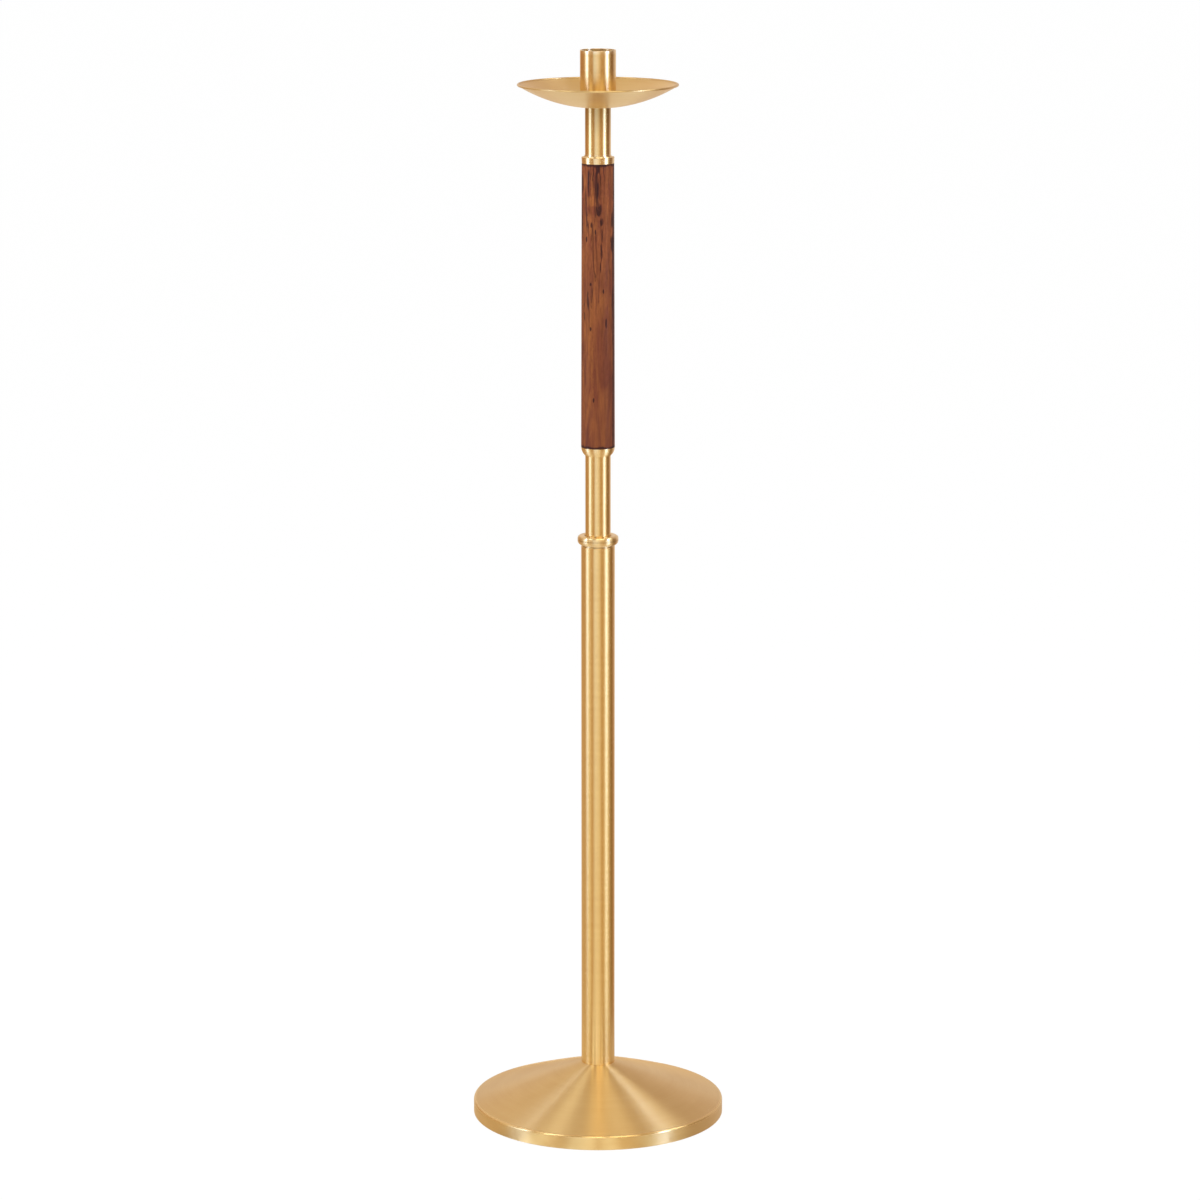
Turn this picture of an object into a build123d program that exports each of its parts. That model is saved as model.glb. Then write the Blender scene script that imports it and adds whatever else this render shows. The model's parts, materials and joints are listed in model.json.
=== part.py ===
"""Processional torch in its weighted floor stand, modelled in millimetres with +Z up.

Every piece is turned about the upright Z axis, and the floor under the stand is at Z = 0.
The torch is the staff, grip, drip pan and candle socket. It lifts out of the stand's tube.
"""

from build123d import *
from math import atan2, cos, radians, sin, tan
import os

# Fits and overruns shared by all pieces
press_clearance = 0.05
running_clearance = 0.08
loose_clearance = 0.4
cut_overrun = 5.0

# Stand base, a spun cover over a cast weight
base_diameter = 254.0
cover_wall = 1.5
cover_foot_gap = 0.8
rim_height = 14.65
rim_edge_radius = 2.3
crown_height = 53.0
cone_bow = 0.8
felt_thickness = 1.8
felt_margin = 6.0
plate_thickness = 3.0
weight_cover_gap = 5.5
weight_thickness = 14.0
weight_edge_radius = 2.0
weight_hub_diameter = 46.0
weight_hub_top_diameter = 33.0

# Countersunk screws that hold the bottom plate to the weight
plate_screw_count = 4
plate_screw_margin = 15.0
plate_screw_diameter = 5.0
plate_screw_length = 12.0
plate_screw_head_diameter = 9.8
plate_screw_head_height = 2.5
plate_screw_socket = 3.0
plate_screw_socket_depth = 1.4
plate_screw_hole_runout = 2.0

# Bolt that clamps the tube's foot plug, the cover's crown and the weight together
clamp_diameter = 10.0
clamp_head_flats = 17.0
clamp_head_height = 6.4
clamp_washer_diameter = 21.0
clamp_washer_thickness = 2.0
lock_washer_diameter = 18.0
lock_washer_thickness = 2.2
lock_washer_split = 1.6
clamp_engagement = 20.0
clamp_hole_runout = 4.0
clamp_pocket_diameter = 26.0
clamp_pocket_depth = 13.2
foot_plug_length = 30.0

# Stand tube with its mouth ring and the seat inside it
stand_tube_diameter = 33.8
stand_tube_wall = 1.2
stand_tube_length = 536.2
ring_diameter = 40.8
ring_groove_diameter = 31.6
ring_groove_height = 1.6
ring_bead_height = 9.3
ring_top_radius = 2.8
ring_bottom_radius = 4.2
ring_lip_height = 1.6
ring_spigot_length = 24.0
ring_spigot_wall = 1.35
seat_floor = 6.0
seat_guide_length = 25.0
seat_lead_in = 0.8
seat_pad_thickness = 3.0

# Torch staff: the lower tube stands in the stand, the neck carries the pan and the socket
staff_diameter = 25.4
staff_wall = 1.2
staff_insertion = 200.0
staff_shown_length = 80.9
neck_length = 45.85
tip_flange = 3.0
tip_flange_inset = 0.4
tip_corner_radius = 1.5
plug_spigot_length = 16.0

# Wooden grip and its two brass ferrules
grip_length = 281.5
grip_bottom_diameter = 33.5
grip_top_diameter = 31.9
grip_edge_radius = 0.4
ferrule_boss_diameter = 18.0
ferrule_boss_height = 6.0
boss_clearance = 0.2
lower_ferrule_height = 8.3
lower_ferrule_rim_inset = 0.05
lower_ferrule_foot_step = 0.2
upper_ferrule_skirt = 5.7
upper_ferrule_rim_diameter = 32.4
upper_ferrule_rim_radius = 0.5
upper_ferrule_flare = 2.9

# Tie rod through the grip, with a nut and a washer on each end
tie_rod_diameter = 8.0
tie_nut_flats = 13.0
tie_nut_height = 6.5
tie_washer_diameter = 16.0
tie_washer_thickness = 1.6
tie_rod_end = 2.0

# Drip pan, a shallow spun dish with a rolled lip
pan_diameter = 158.0
pan_sphere_radius = 150.0
pan_thickness = 1.2
pan_flat_diameter = 38.0
pan_lip_diameter = 2.2
seat_washer_diameter = 33.0
seat_washer_thickness = 0.8

# Candle socket, turned from bar, and the stud that screws it down
socket_diameter = 35.2
socket_bore = 32.0
socket_height = 53.2
socket_floor = 3.0
socket_edge = 0.3
stud_diameter = 10.0
stud_engagement = 9.0
stud_hole_runout = 3.0
stud_slot_width = 1.6
stud_slot_depth = 1.5

# Radii of the main turned pieces
base_radius = base_diameter / 2
stand_tube_radius = stand_tube_diameter / 2
stand_bore_radius = stand_tube_radius - stand_tube_wall
staff_radius = staff_diameter / 2
staff_bore_radius = staff_radius - staff_wall
guide_radius = staff_radius + running_clearance
spigot_radius = staff_bore_radius - press_clearance
tube_fit_radius = stand_bore_radius - press_clearance
tie_hole_radius = tie_rod_diameter / 2 + boss_clearance
stud_radius = stud_diameter / 2

# The cover's cone runs from the rim's edge up to the crown under the tube
crown_radius = stand_tube_radius
cone_slope = atan2(crown_height - rim_height, base_radius - crown_radius)

# Levels above the floor, from the base up to the socket's mouth
plate_top = felt_thickness + plate_thickness
weight_disc_top = plate_top + weight_thickness
crown_underside = crown_height - cover_wall
clamp_pocket_top = plate_top + clamp_pocket_depth
stand_tube_top = crown_height + stand_tube_length
ring_bead_bottom = stand_tube_top + ring_groove_height
ring_top = ring_bead_bottom + ring_bead_height
ring_spigot_bottom = stand_tube_top - ring_spigot_length
staff_bottom = ring_top - staff_insertion
seat_level = staff_bottom - seat_pad_thickness
lower_ferrule_bottom = ring_top + staff_shown_length
grip_bottom = lower_ferrule_bottom + lower_ferrule_height
grip_top = grip_bottom + grip_length
upper_ferrule_rim = grip_top + upper_ferrule_skirt
upper_ferrule_top = upper_ferrule_rim + upper_ferrule_rim_radius + upper_ferrule_flare
neck_top = upper_ferrule_top + neck_length
pan_floor = neck_top + pan_thickness
socket_bottom = pan_floor + seat_washer_thickness
socket_top = socket_bottom + socket_height


def outline(*points, rounded=None):
    """Closed outline of (radius, height) points; rounded maps a point's index to its radius."""
    radii = [(rounded or {}).get(i, 0) for i in range(len(points))]
    return make_face(FilletPolyline(*points, radius=radii, close=True))


def turned(*faces):
    """Solid turned about the Z axis from faces drawn as (radius, height)."""
    solids = [revolve(Plane.XZ * face, axis=Axis.Z) for face in faces]
    whole = solids[0]
    for other in solids[1:]:
        whole += other
    return whole


def ring(outer, inner, low, high):
    """Plain turned ring or, where inner is 0, a disc."""
    return turned(outline((inner, low), (outer, low), (outer, high), (inner, high)))


def hex_bar(flats, low, high):
    """Upright six-sided bar between two levels."""
    section = RegularPolygon(radius=flats / 2, side_count=6, major_radius=False)
    return Pos(0, 0, low) * extrude(section, amount=high - low)


def cone_radius(height, inset):
    """Radius at a height on the cover's cone, drawn in by inset."""
    return crown_radius + (crown_height - inset / cos(cone_slope) - height) / tan(cone_slope)


def bell(inset, bottom):
    """Solid of the cover's outer form, drawn in all round by inset."""
    crown = crown_height - inset
    rim = base_radius - inset
    corner = Vector(rim, rim_height - inset * (1 / cos(cone_slope) - tan(cone_slope)))
    top = Vector(cone_radius(crown, inset), crown)
    normal = Vector(sin(cone_slope), cos(cone_slope))
    middle = (corner + top) * 0.5 + normal * cone_bow
    edges = [
        Line((0, bottom), (rim, bottom)),
        Line((rim, bottom), corner),
        ThreePointArc(corner, middle, top),
        Line(top, (0, crown)),
        Line((0, crown), (0, bottom)),
    ]
    face = make_face(edges)
    if rim_edge_radius > inset:
        edge = face.vertices().sort_by_distance(corner)[0]
        face = fillet(edge, radius=rim_edge_radius - inset)
    return turned(face)


def weight_radius():
    """Radius of the weight's disc, whose top edge keeps its gap to the cone."""
    return cone_radius(weight_disc_top, cover_wall) - weight_cover_gap


def screw_places():
    """Where the bottom plate's screws stand, evenly round the weight's edge."""
    return PolarLocations(weight_radius() - plate_screw_margin, plate_screw_count).locations


def make_base_cover():
    """Spun brass cover with an upright rim and a flat crown that the tube stands on."""
    inside = bell(cover_wall, cover_foot_gap - cut_overrun)
    bolt_hole = ring(
        clamp_diameter / 2 + loose_clearance, 0, crown_underside - cut_overrun, crown_height + cut_overrun
    )
    return bell(0, cover_foot_gap) - inside - bolt_hole


def make_base_weight():
    """Cast weight, a disc with a hub up to the crown and a pocket for the bolt's head."""
    weight = turned(
        outline(
            (0, plate_top),
            (weight_radius(), plate_top),
            (weight_radius(), weight_disc_top),
            (weight_hub_diameter / 2, weight_disc_top),
            (weight_hub_top_diameter / 2, crown_underside),
            (0, crown_underside),
            rounded={2: weight_edge_radius, 3: weight_edge_radius},
        )
    )
    weight -= ring(clamp_pocket_diameter / 2, 0, plate_top - cut_overrun, clamp_pocket_top)
    weight -= ring(clamp_diameter / 2 + loose_clearance, 0, plate_top, crown_height + cut_overrun)
    hole_top = felt_thickness + plate_screw_length + plate_screw_hole_runout
    hole = ring(plate_screw_diameter / 2 + press_clearance, 0, plate_top - cut_overrun, hole_top)
    for place in screw_places():
        weight -= place * hole
    return weight


def screw_form(clearance, tip):
    """Countersunk screw, head down in the plate's underside, grown by clearance."""
    head = plate_screw_head_diameter / 2 + clearance
    shank = plate_screw_diameter / 2 + clearance
    cone_top = felt_thickness + plate_screw_head_height
    return turned(
        outline((0, felt_thickness), (head, felt_thickness), (shank, cone_top), (shank, tip), (0, tip))
    )


def make_base_plate():
    """Steel bottom plate inside the rim, countersunk for its screws."""
    plate = ring(base_radius - cover_wall - loose_clearance, 0, felt_thickness, plate_top)
    cutter = screw_form(press_clearance, plate_top + cut_overrun)
    for place in screw_places():
        plate -= place * cutter
    return plate


def make_plate_screws():
    """The bottom plate's countersunk screws, flush with its underside."""
    screw = screw_form(0, felt_thickness + plate_screw_length)
    screw -= hex_bar(
        plate_screw_socket, felt_thickness - cut_overrun, felt_thickness + plate_screw_socket_depth
    )
    return Compound(children=[place * screw for place in screw_places()])


def make_base_felt():
    """Felt pad glued under the plate. The torch stands on it."""
    return ring(base_radius - felt_margin, 0, 0, felt_thickness)


def make_clamp_bolt():
    """Hex bolt, head down in the weight's pocket, screwed up into the foot plug."""
    head_top = clamp_pocket_top - clamp_washer_thickness - lock_washer_thickness
    head = hex_bar(clamp_head_flats, head_top - clamp_head_height, head_top)
    shank = ring(clamp_diameter / 2, 0, head_top - clamp_head_height, crown_height + clamp_engagement)
    return head + shank


def make_clamp_washer():
    """Flat washer against the roof of the weight's pocket."""
    low = clamp_pocket_top - clamp_washer_thickness
    return ring(
        clamp_washer_diameter / 2, clamp_diameter / 2 + loose_clearance, low, clamp_pocket_top
    )


def make_lock_washer():
    """Split spring washer between the bolt's head and the flat washer."""
    high = clamp_pocket_top - clamp_washer_thickness
    low = high - lock_washer_thickness
    washer = ring(lock_washer_diameter / 2, clamp_diameter / 2 + loose_clearance, low, high)
    split = Box(
        lock_washer_diameter,
        lock_washer_split,
        lock_washer_thickness + cut_overrun,
        align=(Align.MIN, Align.CENTER, Align.CENTER),
    )
    return washer - Pos(0, 0, (low + high) / 2) * split


def make_foot_plug():
    """Plug in the tube's foot, bored for the clamp bolt."""
    plug = ring(tube_fit_radius, 0, crown_height, crown_height + foot_plug_length)
    hole_top = crown_height + clamp_engagement + clamp_hole_runout
    return plug - ring(clamp_diameter / 2 + press_clearance, 0, crown_height - cut_overrun, hole_top)


def make_stand_tube():
    """Brass tube of the stand, from the cover's crown to the mouth ring."""
    return ring(stand_tube_radius, stand_bore_radius, crown_height, stand_tube_top)


def make_mouth_ring():
    """Rounded ring on the tube's mouth, with a groove below it and a spigot in the tube."""
    bore = tube_fit_radius - ring_spigot_wall
    lip = staff_radius + loose_clearance
    lip_bottom = ring_top - ring_lip_height
    return turned(
        outline(
            (lip, ring_top),
            (ring_diameter / 2, ring_top),
            (ring_diameter / 2, ring_bead_bottom),
            (ring_groove_diameter / 2, ring_bead_bottom),
            (ring_groove_diameter / 2, stand_tube_top),
            (tube_fit_radius, stand_tube_top),
            (tube_fit_radius, ring_spigot_bottom),
            (bore, ring_spigot_bottom),
            (bore, lip_bottom),
            (lip, lip_bottom),
            rounded={1: ring_top_radius, 2: ring_bottom_radius},
        )
    )


def make_mouth_bush():
    """Nylon bush inside the mouth ring that guides the staff."""
    outer = tube_fit_radius - ring_spigot_wall - press_clearance
    return ring(outer, guide_radius, ring_spigot_bottom, ring_top - ring_lip_height)


def make_seat_cup():
    """Nylon cup fixed inside the tube that the staff's lower end stands in."""
    floor = seat_level - seat_floor
    brim = staff_bottom + seat_guide_length
    return turned(
        outline(
            (0, floor),
            (tube_fit_radius, floor),
            (tube_fit_radius, brim),
            (guide_radius + seat_lead_in, brim),
            (guide_radius, brim - seat_lead_in),
            (guide_radius, seat_level),
            (0, seat_level),
        )
    )


def make_seat_pad():
    """Loose felt pad in the cup that the staff's tip rests and turns on."""
    return ring(staff_radius - tip_flange_inset, 0, seat_level, staff_bottom)


def make_staff_tip():
    """Turned plug that closes the staff's lower end."""
    flange = staff_radius - tip_flange_inset
    shoulder = staff_bottom + tip_flange
    top = shoulder + plug_spigot_length
    return turned(
        outline(
            (0, staff_bottom),
            (flange, staff_bottom),
            (flange, shoulder),
            (spigot_radius, shoulder),
            (spigot_radius, top),
            (0, top),
            rounded={1: tip_corner_radius},
        )
    )


def make_staff_tube():
    """Lower staff tube, from the tip up to the lower ferrule."""
    return ring(staff_radius, staff_bore_radius, staff_bottom + tip_flange, lower_ferrule_bottom)


def make_lower_ferrule():
    """Cup-shaped ferrule under the grip, with a spigot in the staff tube."""
    rim = grip_bottom_diameter / 2 - lower_ferrule_rim_inset
    foot = staff_radius + lower_ferrule_foot_step
    spigot_bottom = lower_ferrule_bottom - plug_spigot_length
    boss = ferrule_boss_diameter / 2
    boss_top = grip_bottom + ferrule_boss_height
    cup = make_face(
        [
            TangentArc((rim, grip_bottom), (foot, lower_ferrule_bottom), tangent=(0, -1)),
            Line((foot, lower_ferrule_bottom), (0, lower_ferrule_bottom)),
            Line((0, lower_ferrule_bottom), (0, grip_bottom)),
            Line((0, grip_bottom), (rim, grip_bottom)),
        ]
    )
    core = ring(spigot_radius, 0, spigot_bottom, grip_bottom) + ring(boss, 0, grip_bottom, boss_top)
    hole = ring(tie_hole_radius, 0, spigot_bottom - cut_overrun, boss_top + cut_overrun)
    return turned(cup) + core - hole


def make_wood_grip():
    """Wooden grip, a little slimmer at its top, bored for the tie rod and both bosses."""
    low = grip_bottom_diameter / 2
    high = grip_top_diameter / 2
    boss = ferrule_boss_diameter / 2 + boss_clearance
    depth = ferrule_boss_height + boss_clearance
    bore = tie_hole_radius + boss_clearance
    return turned(
        outline(
            (low, grip_bottom),
            (high, grip_top),
            (boss, grip_top),
            (boss, grip_top - depth),
            (bore, grip_top - depth),
            (bore, grip_bottom + depth),
            (boss, grip_bottom + depth),
            (boss, grip_bottom),
            rounded={0: grip_edge_radius, 1: grip_edge_radius},
        )
    )


def make_upper_ferrule():
    """Ferrule over the grip: a short skirt, a proud rim and a flare up to the neck."""
    skirt = grip_top_diameter / 2
    rim = upper_ferrule_rim_diameter / 2
    rim_top = upper_ferrule_rim + upper_ferrule_rim_radius
    shoulder = staff_radius + upper_ferrule_flare
    spigot_top = upper_ferrule_top + plug_spigot_length
    boss_bottom = grip_top - ferrule_boss_height
    section = make_face(
        [
            Line((0, grip_top), (skirt, grip_top)),
            Line((skirt, grip_top), (rim, upper_ferrule_rim)),
            ThreePointArc(
                (rim, upper_ferrule_rim),
                (
                    rim - upper_ferrule_rim_radius * (1 - cos(radians(45))),
                    upper_ferrule_rim + upper_ferrule_rim_radius * sin(radians(45)),
                ),
                (rim - upper_ferrule_rim_radius, rim_top),
            ),
            Line((rim - upper_ferrule_rim_radius, rim_top), (shoulder, rim_top)),
            TangentArc((staff_radius, upper_ferrule_top), (shoulder, rim_top), tangent=(0, -1)),
            Line((staff_radius, upper_ferrule_top), (0, upper_ferrule_top)),
            Line((0, upper_ferrule_top), (0, grip_top)),
        ]
    )
    core = ring(spigot_radius, 0, grip_top, spigot_top)
    core += ring(ferrule_boss_diameter / 2, 0, boss_bottom, grip_top)
    hole = ring(tie_hole_radius, 0, boss_bottom - cut_overrun, spigot_top + cut_overrun)
    return turned(section) + core - hole


def tie_ends():
    """Levels where the tie rod's washers bear, each with the way out along the rod."""
    return [
        (lower_ferrule_bottom - plug_spigot_length, -1),
        (upper_ferrule_top + plug_spigot_length, 1),
    ]


def make_tie_rod():
    """Steel rod that draws both ferrules against the grip."""
    reach = tie_washer_thickness + tie_nut_height + tie_rod_end
    low, high = [level + way * reach for level, way in tie_ends()]
    return ring(tie_rod_diameter / 2, 0, low, high)


def make_tie_washers():
    """Washers under the tie rod's nuts."""
    washers = []
    for level, way in tie_ends():
        low, high = sorted((level, level + way * tie_washer_thickness))
        washers.append(ring(tie_washer_diameter / 2, tie_hole_radius, low, high))
    return Compound(children=washers)


def make_tie_nuts():
    """Hex nuts on the tie rod's ends."""
    nuts = []
    for level, way in tie_ends():
        near = level + way * tie_washer_thickness
        low, high = sorted((near, near + way * tie_nut_height))
        hole = ring(tie_rod_diameter / 2 + press_clearance, 0, low - cut_overrun, high + cut_overrun)
        nuts.append(hex_bar(tie_nut_flats, low, high) - hole)
    return Compound(children=nuts)


def make_neck_tube():
    """Short tube between the upper ferrule and the drip pan."""
    return ring(staff_radius, staff_bore_radius, upper_ferrule_top, neck_top)


def make_neck_plug():
    """Plug flush with the neck's top, threaded for the socket's stud."""
    plug = ring(spigot_radius, 0, neck_top - plug_spigot_length, neck_top)
    hole_bottom = neck_top - stud_engagement - stud_hole_runout
    return plug - ring(stud_radius + press_clearance, 0, hole_bottom, neck_top + cut_overrun)


def pan_rim():
    """Middle of the pan's lip as (radius, height), and the centre height of its sphere."""
    centre = neck_top + (pan_sphere_radius**2 - (pan_flat_diameter / 2) ** 2) ** 0.5
    middle = pan_sphere_radius - pan_thickness / 2
    radius = pan_diameter / 2 - pan_lip_diameter / 2
    return radius, centre - (middle**2 - radius**2) ** 0.5, centre


def make_drip_pan():
    """Shallow round dish with a flat middle and a rolled lip."""
    radius, height, centre = pan_rim()
    flat = pan_flat_diameter / 2
    inner = pan_sphere_radius - pan_thickness
    tilt = atan2(radius, centre - height)
    outer_end = (pan_sphere_radius * sin(tilt), centre - pan_sphere_radius * cos(tilt))
    inner_end = (inner * sin(tilt), centre - inner * cos(tilt))
    inner_flat = (inner**2 - (centre - pan_floor) ** 2) ** 0.5
    hole = stud_radius + loose_clearance
    sheet = make_face(
        [
            Line((hole, pan_floor), (hole, neck_top)),
            Line((hole, neck_top), (flat, neck_top)),
            RadiusArc((flat, neck_top), outer_end, -pan_sphere_radius),
            Line(outer_end, inner_end),
            RadiusArc(inner_end, (inner_flat, pan_floor), inner),
            Line((inner_flat, pan_floor), (hole, pan_floor)),
        ]
    )
    lip = Pos(radius, height) * Circle(pan_lip_diameter / 2)
    return turned(sheet, lip)


def make_socket_washer():
    """Leather washer between the pan and the socket."""
    hole = stud_radius + loose_clearance
    return ring(seat_washer_diameter / 2, hole, pan_floor, socket_bottom)


def make_candle_socket():
    """Straight cup for the candle's foot."""
    outer = socket_diameter / 2
    bore = socket_bore / 2
    floor = socket_bottom + socket_floor
    hole = stud_radius + press_clearance
    return turned(
        outline(
            (hole, socket_bottom),
            (outer, socket_bottom),
            (outer, socket_top),
            (bore, socket_top),
            (bore, floor),
            (hole, floor),
            rounded={1: socket_edge, 2: socket_edge, 3: socket_edge},
        )
    )


def make_socket_stud():
    """Stud fixed in the socket's floor that screws down into the neck plug."""
    top = socket_bottom + socket_floor
    stud = ring(stud_radius, 0, neck_top - stud_engagement, top)
    slot = Box(
        stud_diameter + cut_overrun,
        stud_slot_width,
        stud_slot_depth,
        align=(Align.CENTER, Align.CENTER, Align.MAX),
    )
    return stud - Pos(0, 0, top) * slot


pieces = {
    "base_cover": make_base_cover,
    "base_weight": make_base_weight,
    "base_plate": make_base_plate,
    "plate_screws": make_plate_screws,
    "base_felt": make_base_felt,
    "clamp_bolt": make_clamp_bolt,
    "clamp_washer": make_clamp_washer,
    "lock_washer": make_lock_washer,
    "foot_plug": make_foot_plug,
    "stand_tube": make_stand_tube,
    "mouth_ring": make_mouth_ring,
    "mouth_bush": make_mouth_bush,
    "seat_cup": make_seat_cup,
    "seat_pad": make_seat_pad,
    "staff_tip": make_staff_tip,
    "staff_tube": make_staff_tube,
    "lower_ferrule": make_lower_ferrule,
    "wood_grip": make_wood_grip,
    "upper_ferrule": make_upper_ferrule,
    "tie_rod": make_tie_rod,
    "tie_washers": make_tie_washers,
    "tie_nuts": make_tie_nuts,
    "neck_tube": make_neck_tube,
    "neck_plug": make_neck_plug,
    "drip_pan": make_drip_pan,
    "socket_washer": make_socket_washer,
    "candle_socket": make_candle_socket,
    "socket_stud": make_socket_stud,
}

os.makedirs("parts", exist_ok=True)
for name, make in pieces.items():
    export_step(make(), f"parts/{name}.step")
print(f"socket mouth {socket_top:.2f} mm, neck top {neck_top:.2f} mm, pan rim {pan_rim()[1]:.2f} mm")
print(f"staff bottom {staff_bottom:.2f} mm, ring top {ring_top:.2f} mm")
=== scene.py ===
"""Looks of a processional torch in its floor stand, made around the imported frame, in metres."""

import json
from collections import namedtuple
from functools import cache
from math import asin, atan2, ceil, cos, pi, radians, sin, sqrt, tan

import bmesh
import bpy
from bpy.props import FloatProperty, FloatVectorProperty, IntProperty, PointerProperty
from mathutils import Matrix, Vector


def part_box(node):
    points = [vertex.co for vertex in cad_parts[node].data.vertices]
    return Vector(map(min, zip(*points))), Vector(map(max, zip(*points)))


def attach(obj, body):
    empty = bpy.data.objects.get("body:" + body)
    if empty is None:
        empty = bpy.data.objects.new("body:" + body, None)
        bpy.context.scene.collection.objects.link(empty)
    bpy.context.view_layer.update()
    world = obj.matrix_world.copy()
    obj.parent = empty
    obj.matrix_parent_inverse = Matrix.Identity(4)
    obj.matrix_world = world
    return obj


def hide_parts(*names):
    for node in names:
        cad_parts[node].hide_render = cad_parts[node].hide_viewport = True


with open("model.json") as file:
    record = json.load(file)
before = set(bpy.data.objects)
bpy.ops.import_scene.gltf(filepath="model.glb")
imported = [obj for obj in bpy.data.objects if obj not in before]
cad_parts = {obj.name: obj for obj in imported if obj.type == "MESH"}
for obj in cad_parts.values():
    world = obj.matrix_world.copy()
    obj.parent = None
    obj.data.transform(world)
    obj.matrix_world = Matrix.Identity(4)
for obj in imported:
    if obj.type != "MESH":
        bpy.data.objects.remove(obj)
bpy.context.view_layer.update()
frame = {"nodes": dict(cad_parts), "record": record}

bl_info = {
    "name": "Processional torch",
    "version": (1, 0, 0),
    "blender": (4, 5, 0),
    "location": "View3D > Sidebar > Torch",
    "description": "Turned brass, wood and felt of a processional torch in its weighted stand",
    "category": "Object",
}

NODE_BODY = {
    node: body for body, nodes in frame["record"]["behaviour"]["bodies"].items() for node in nodes
}
MICRON = 1e-6
MM = 1e-3
# Edge of a turned corner that looks sharp
CRISP_EDGE = 0.1 * MM
# Tints that darken the brass as painted shade, and that pale it: as painted highlight on the socket and
# ferrules, as its own paler tone on the ring
BLACK = (0.0, 0.0, 0.0)
PALE = (1.0, 0.88, 0.62)

Span = namedtuple("Span", "radius low high")


def span(node):
    """Largest radius, lowest level and highest level of a turned node, in metres."""
    low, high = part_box(node)
    return Span(high.x, low.z, high.z)


def grip_radius(level):
    """Radius of the grip's side at one of its ends, read from the node's own mesh."""
    vertices = frame["nodes"]["wood_grip"].data.vertices
    return max(vertex.co.xy.length for vertex in vertices if abs(vertex.co.z - level) < MM)


def millimetres(name, description, default):
    """A size in millimetres that a user may change; Blender keeps it in metres."""
    default *= MM
    return FloatProperty(name=name, description=description, default=default, min=0.0, unit="LENGTH")


def colour_property(name, description, default):
    """A plain colour that a user may change."""
    return FloatVectorProperty(
        name=name, description=description, default=default, min=0.0, max=1.0, size=3, subtype="COLOR"
    )


def share_property(name, description, default):
    """A number from 0 to 1 that a user may change."""
    return FloatProperty(
        name=name, description=description, default=default, min=0.0, max=1.0, subtype="FACTOR"
    )


class TorchStandSizes(bpy.types.PropertyGroup):
    """Sizes of the stand that its outside doesn't give."""

    cover_wall: millimetres("Cover wall", "Thickness of the spun cover", 1.5)
    rim_height: millimetres("Rim height", "Level where the cover's cone meets its rim", 14.65)
    rim_edge: millimetres("Rim edge", "Rounding between the cover's rim and cone", 2.3)
    cone_bow: millimetres("Cone bow", "How far the cover's cone swells between its ends", 0.8)
    bolt_hole: millimetres("Bolt hole", "Radius of the hole in the cover's crown", 5.4)
    tube_wall: millimetres("Tube wall", "Thickness of the stand's tube", 1.2)
    groove_radius: millimetres("Groove", "Radius of the groove under the mouth ring", 15.8)
    groove_height: millimetres("Groove height", "Height of that groove", 1.6)
    ring_top_edge: millimetres("Ring top edge", "Rounding over the mouth ring", 2.8)
    ring_bottom_edge: millimetres("Ring bottom edge", "Rounding under the mouth ring", 4.2)
    ring_lip: millimetres("Ring lip", "Thickness of the lip over the bush", 1.6)
    lip_bore: millimetres("Lip bore", "Radius of the mouth that the staff passes", 13.1)
    guide_bore: millimetres("Guide bore", "Radius that guides the staff in bush and cup", 12.78)
    cup_floor: millimetres("Cup floor", "Thickness of the seat cup's floor", 6.0)
    cup_lead: millimetres("Cup lead-in", "Chamfer at the seat cup's brim", 0.8)


class TorchStaffSizes(bpy.types.PropertyGroup):
    """Sizes of the staff, grip and ferrules that their outsides don't give."""

    staff_wall: millimetres("Staff wall", "Thickness of the staff and neck tubes", 1.2)
    tip_corner: millimetres("Tip corner", "Rounding at the staff's lower end", 1.5)
    spigot_gap: millimetres("Spigot gap", "Play between a plug and the tube around it", 0.05)
    boss_radius: millimetres("Boss", "Radius of the ferrules' bosses in the grip", 9.0)
    boss_height: millimetres("Boss height", "How far the bosses reach into the grip", 6.0)
    boss_gap: millimetres("Boss gap", "Play round the bosses and the tie rod", 0.2)
    rod_hole: millimetres("Rod hole", "Radius of the ferrules' hole for the tie rod", 4.2)
    grip_edge: millimetres("Grip edge", "Rounding at both ends of the grip", 0.4)
    foot_radius: millimetres("Ferrule foot", "Radius of the lower ferrule's foot", 12.9)
    rim_edge: millimetres("Ferrule rim", "Rounding of the upper ferrule's rim", 0.45)
    skirt_height: millimetres("Skirt height", "Height of the upper ferrule's skirt", 5.7)
    flare: millimetres("Flare", "Radius of the hollow between rim and neck", 2.9)


class TorchTopSizes(bpy.types.PropertyGroup):
    """Sizes of the drip pan, the candle socket and its stud."""

    pan_sphere: millimetres("Pan sphere", "Radius of the pan's outside", 150.0)
    pan_sheet: millimetres("Pan sheet", "Thickness of the pan", 1.2)
    pan_flat: millimetres("Pan flat", "Radius of the pan's flat middle", 19.0)
    pan_lip: millimetres("Pan lip", "Thickness of the rolled lip", 2.2)
    pan_bend: millimetres("Pan bend", "Rounding between the flat middle and the dish", 30.0)
    stud_hole: millimetres("Stud hole", "Radius of the pan's hole for the stud", 5.4)
    socket_bore: millimetres("Socket bore", "Radius of the candle's bore", 16.0)
    socket_floor: millimetres("Socket floor", "Thickness of the socket's floor", 3.0)
    socket_edge: millimetres("Socket edge", "Rounding at the socket's edges", 0.3)
    stud_pitch: millimetres("Stud pitch", "Rise of the stud's thread in one turn", 1.5)
    thread_depth: millimetres("Thread depth", "Depth of the stud's thread", 0.85)
    slot_width: millimetres("Slot width", "Width of the stud's screwdriver slot", 1.6)
    slot_depth: millimetres("Slot depth", "Depth of the stud's screwdriver slot", 1.5)


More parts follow.
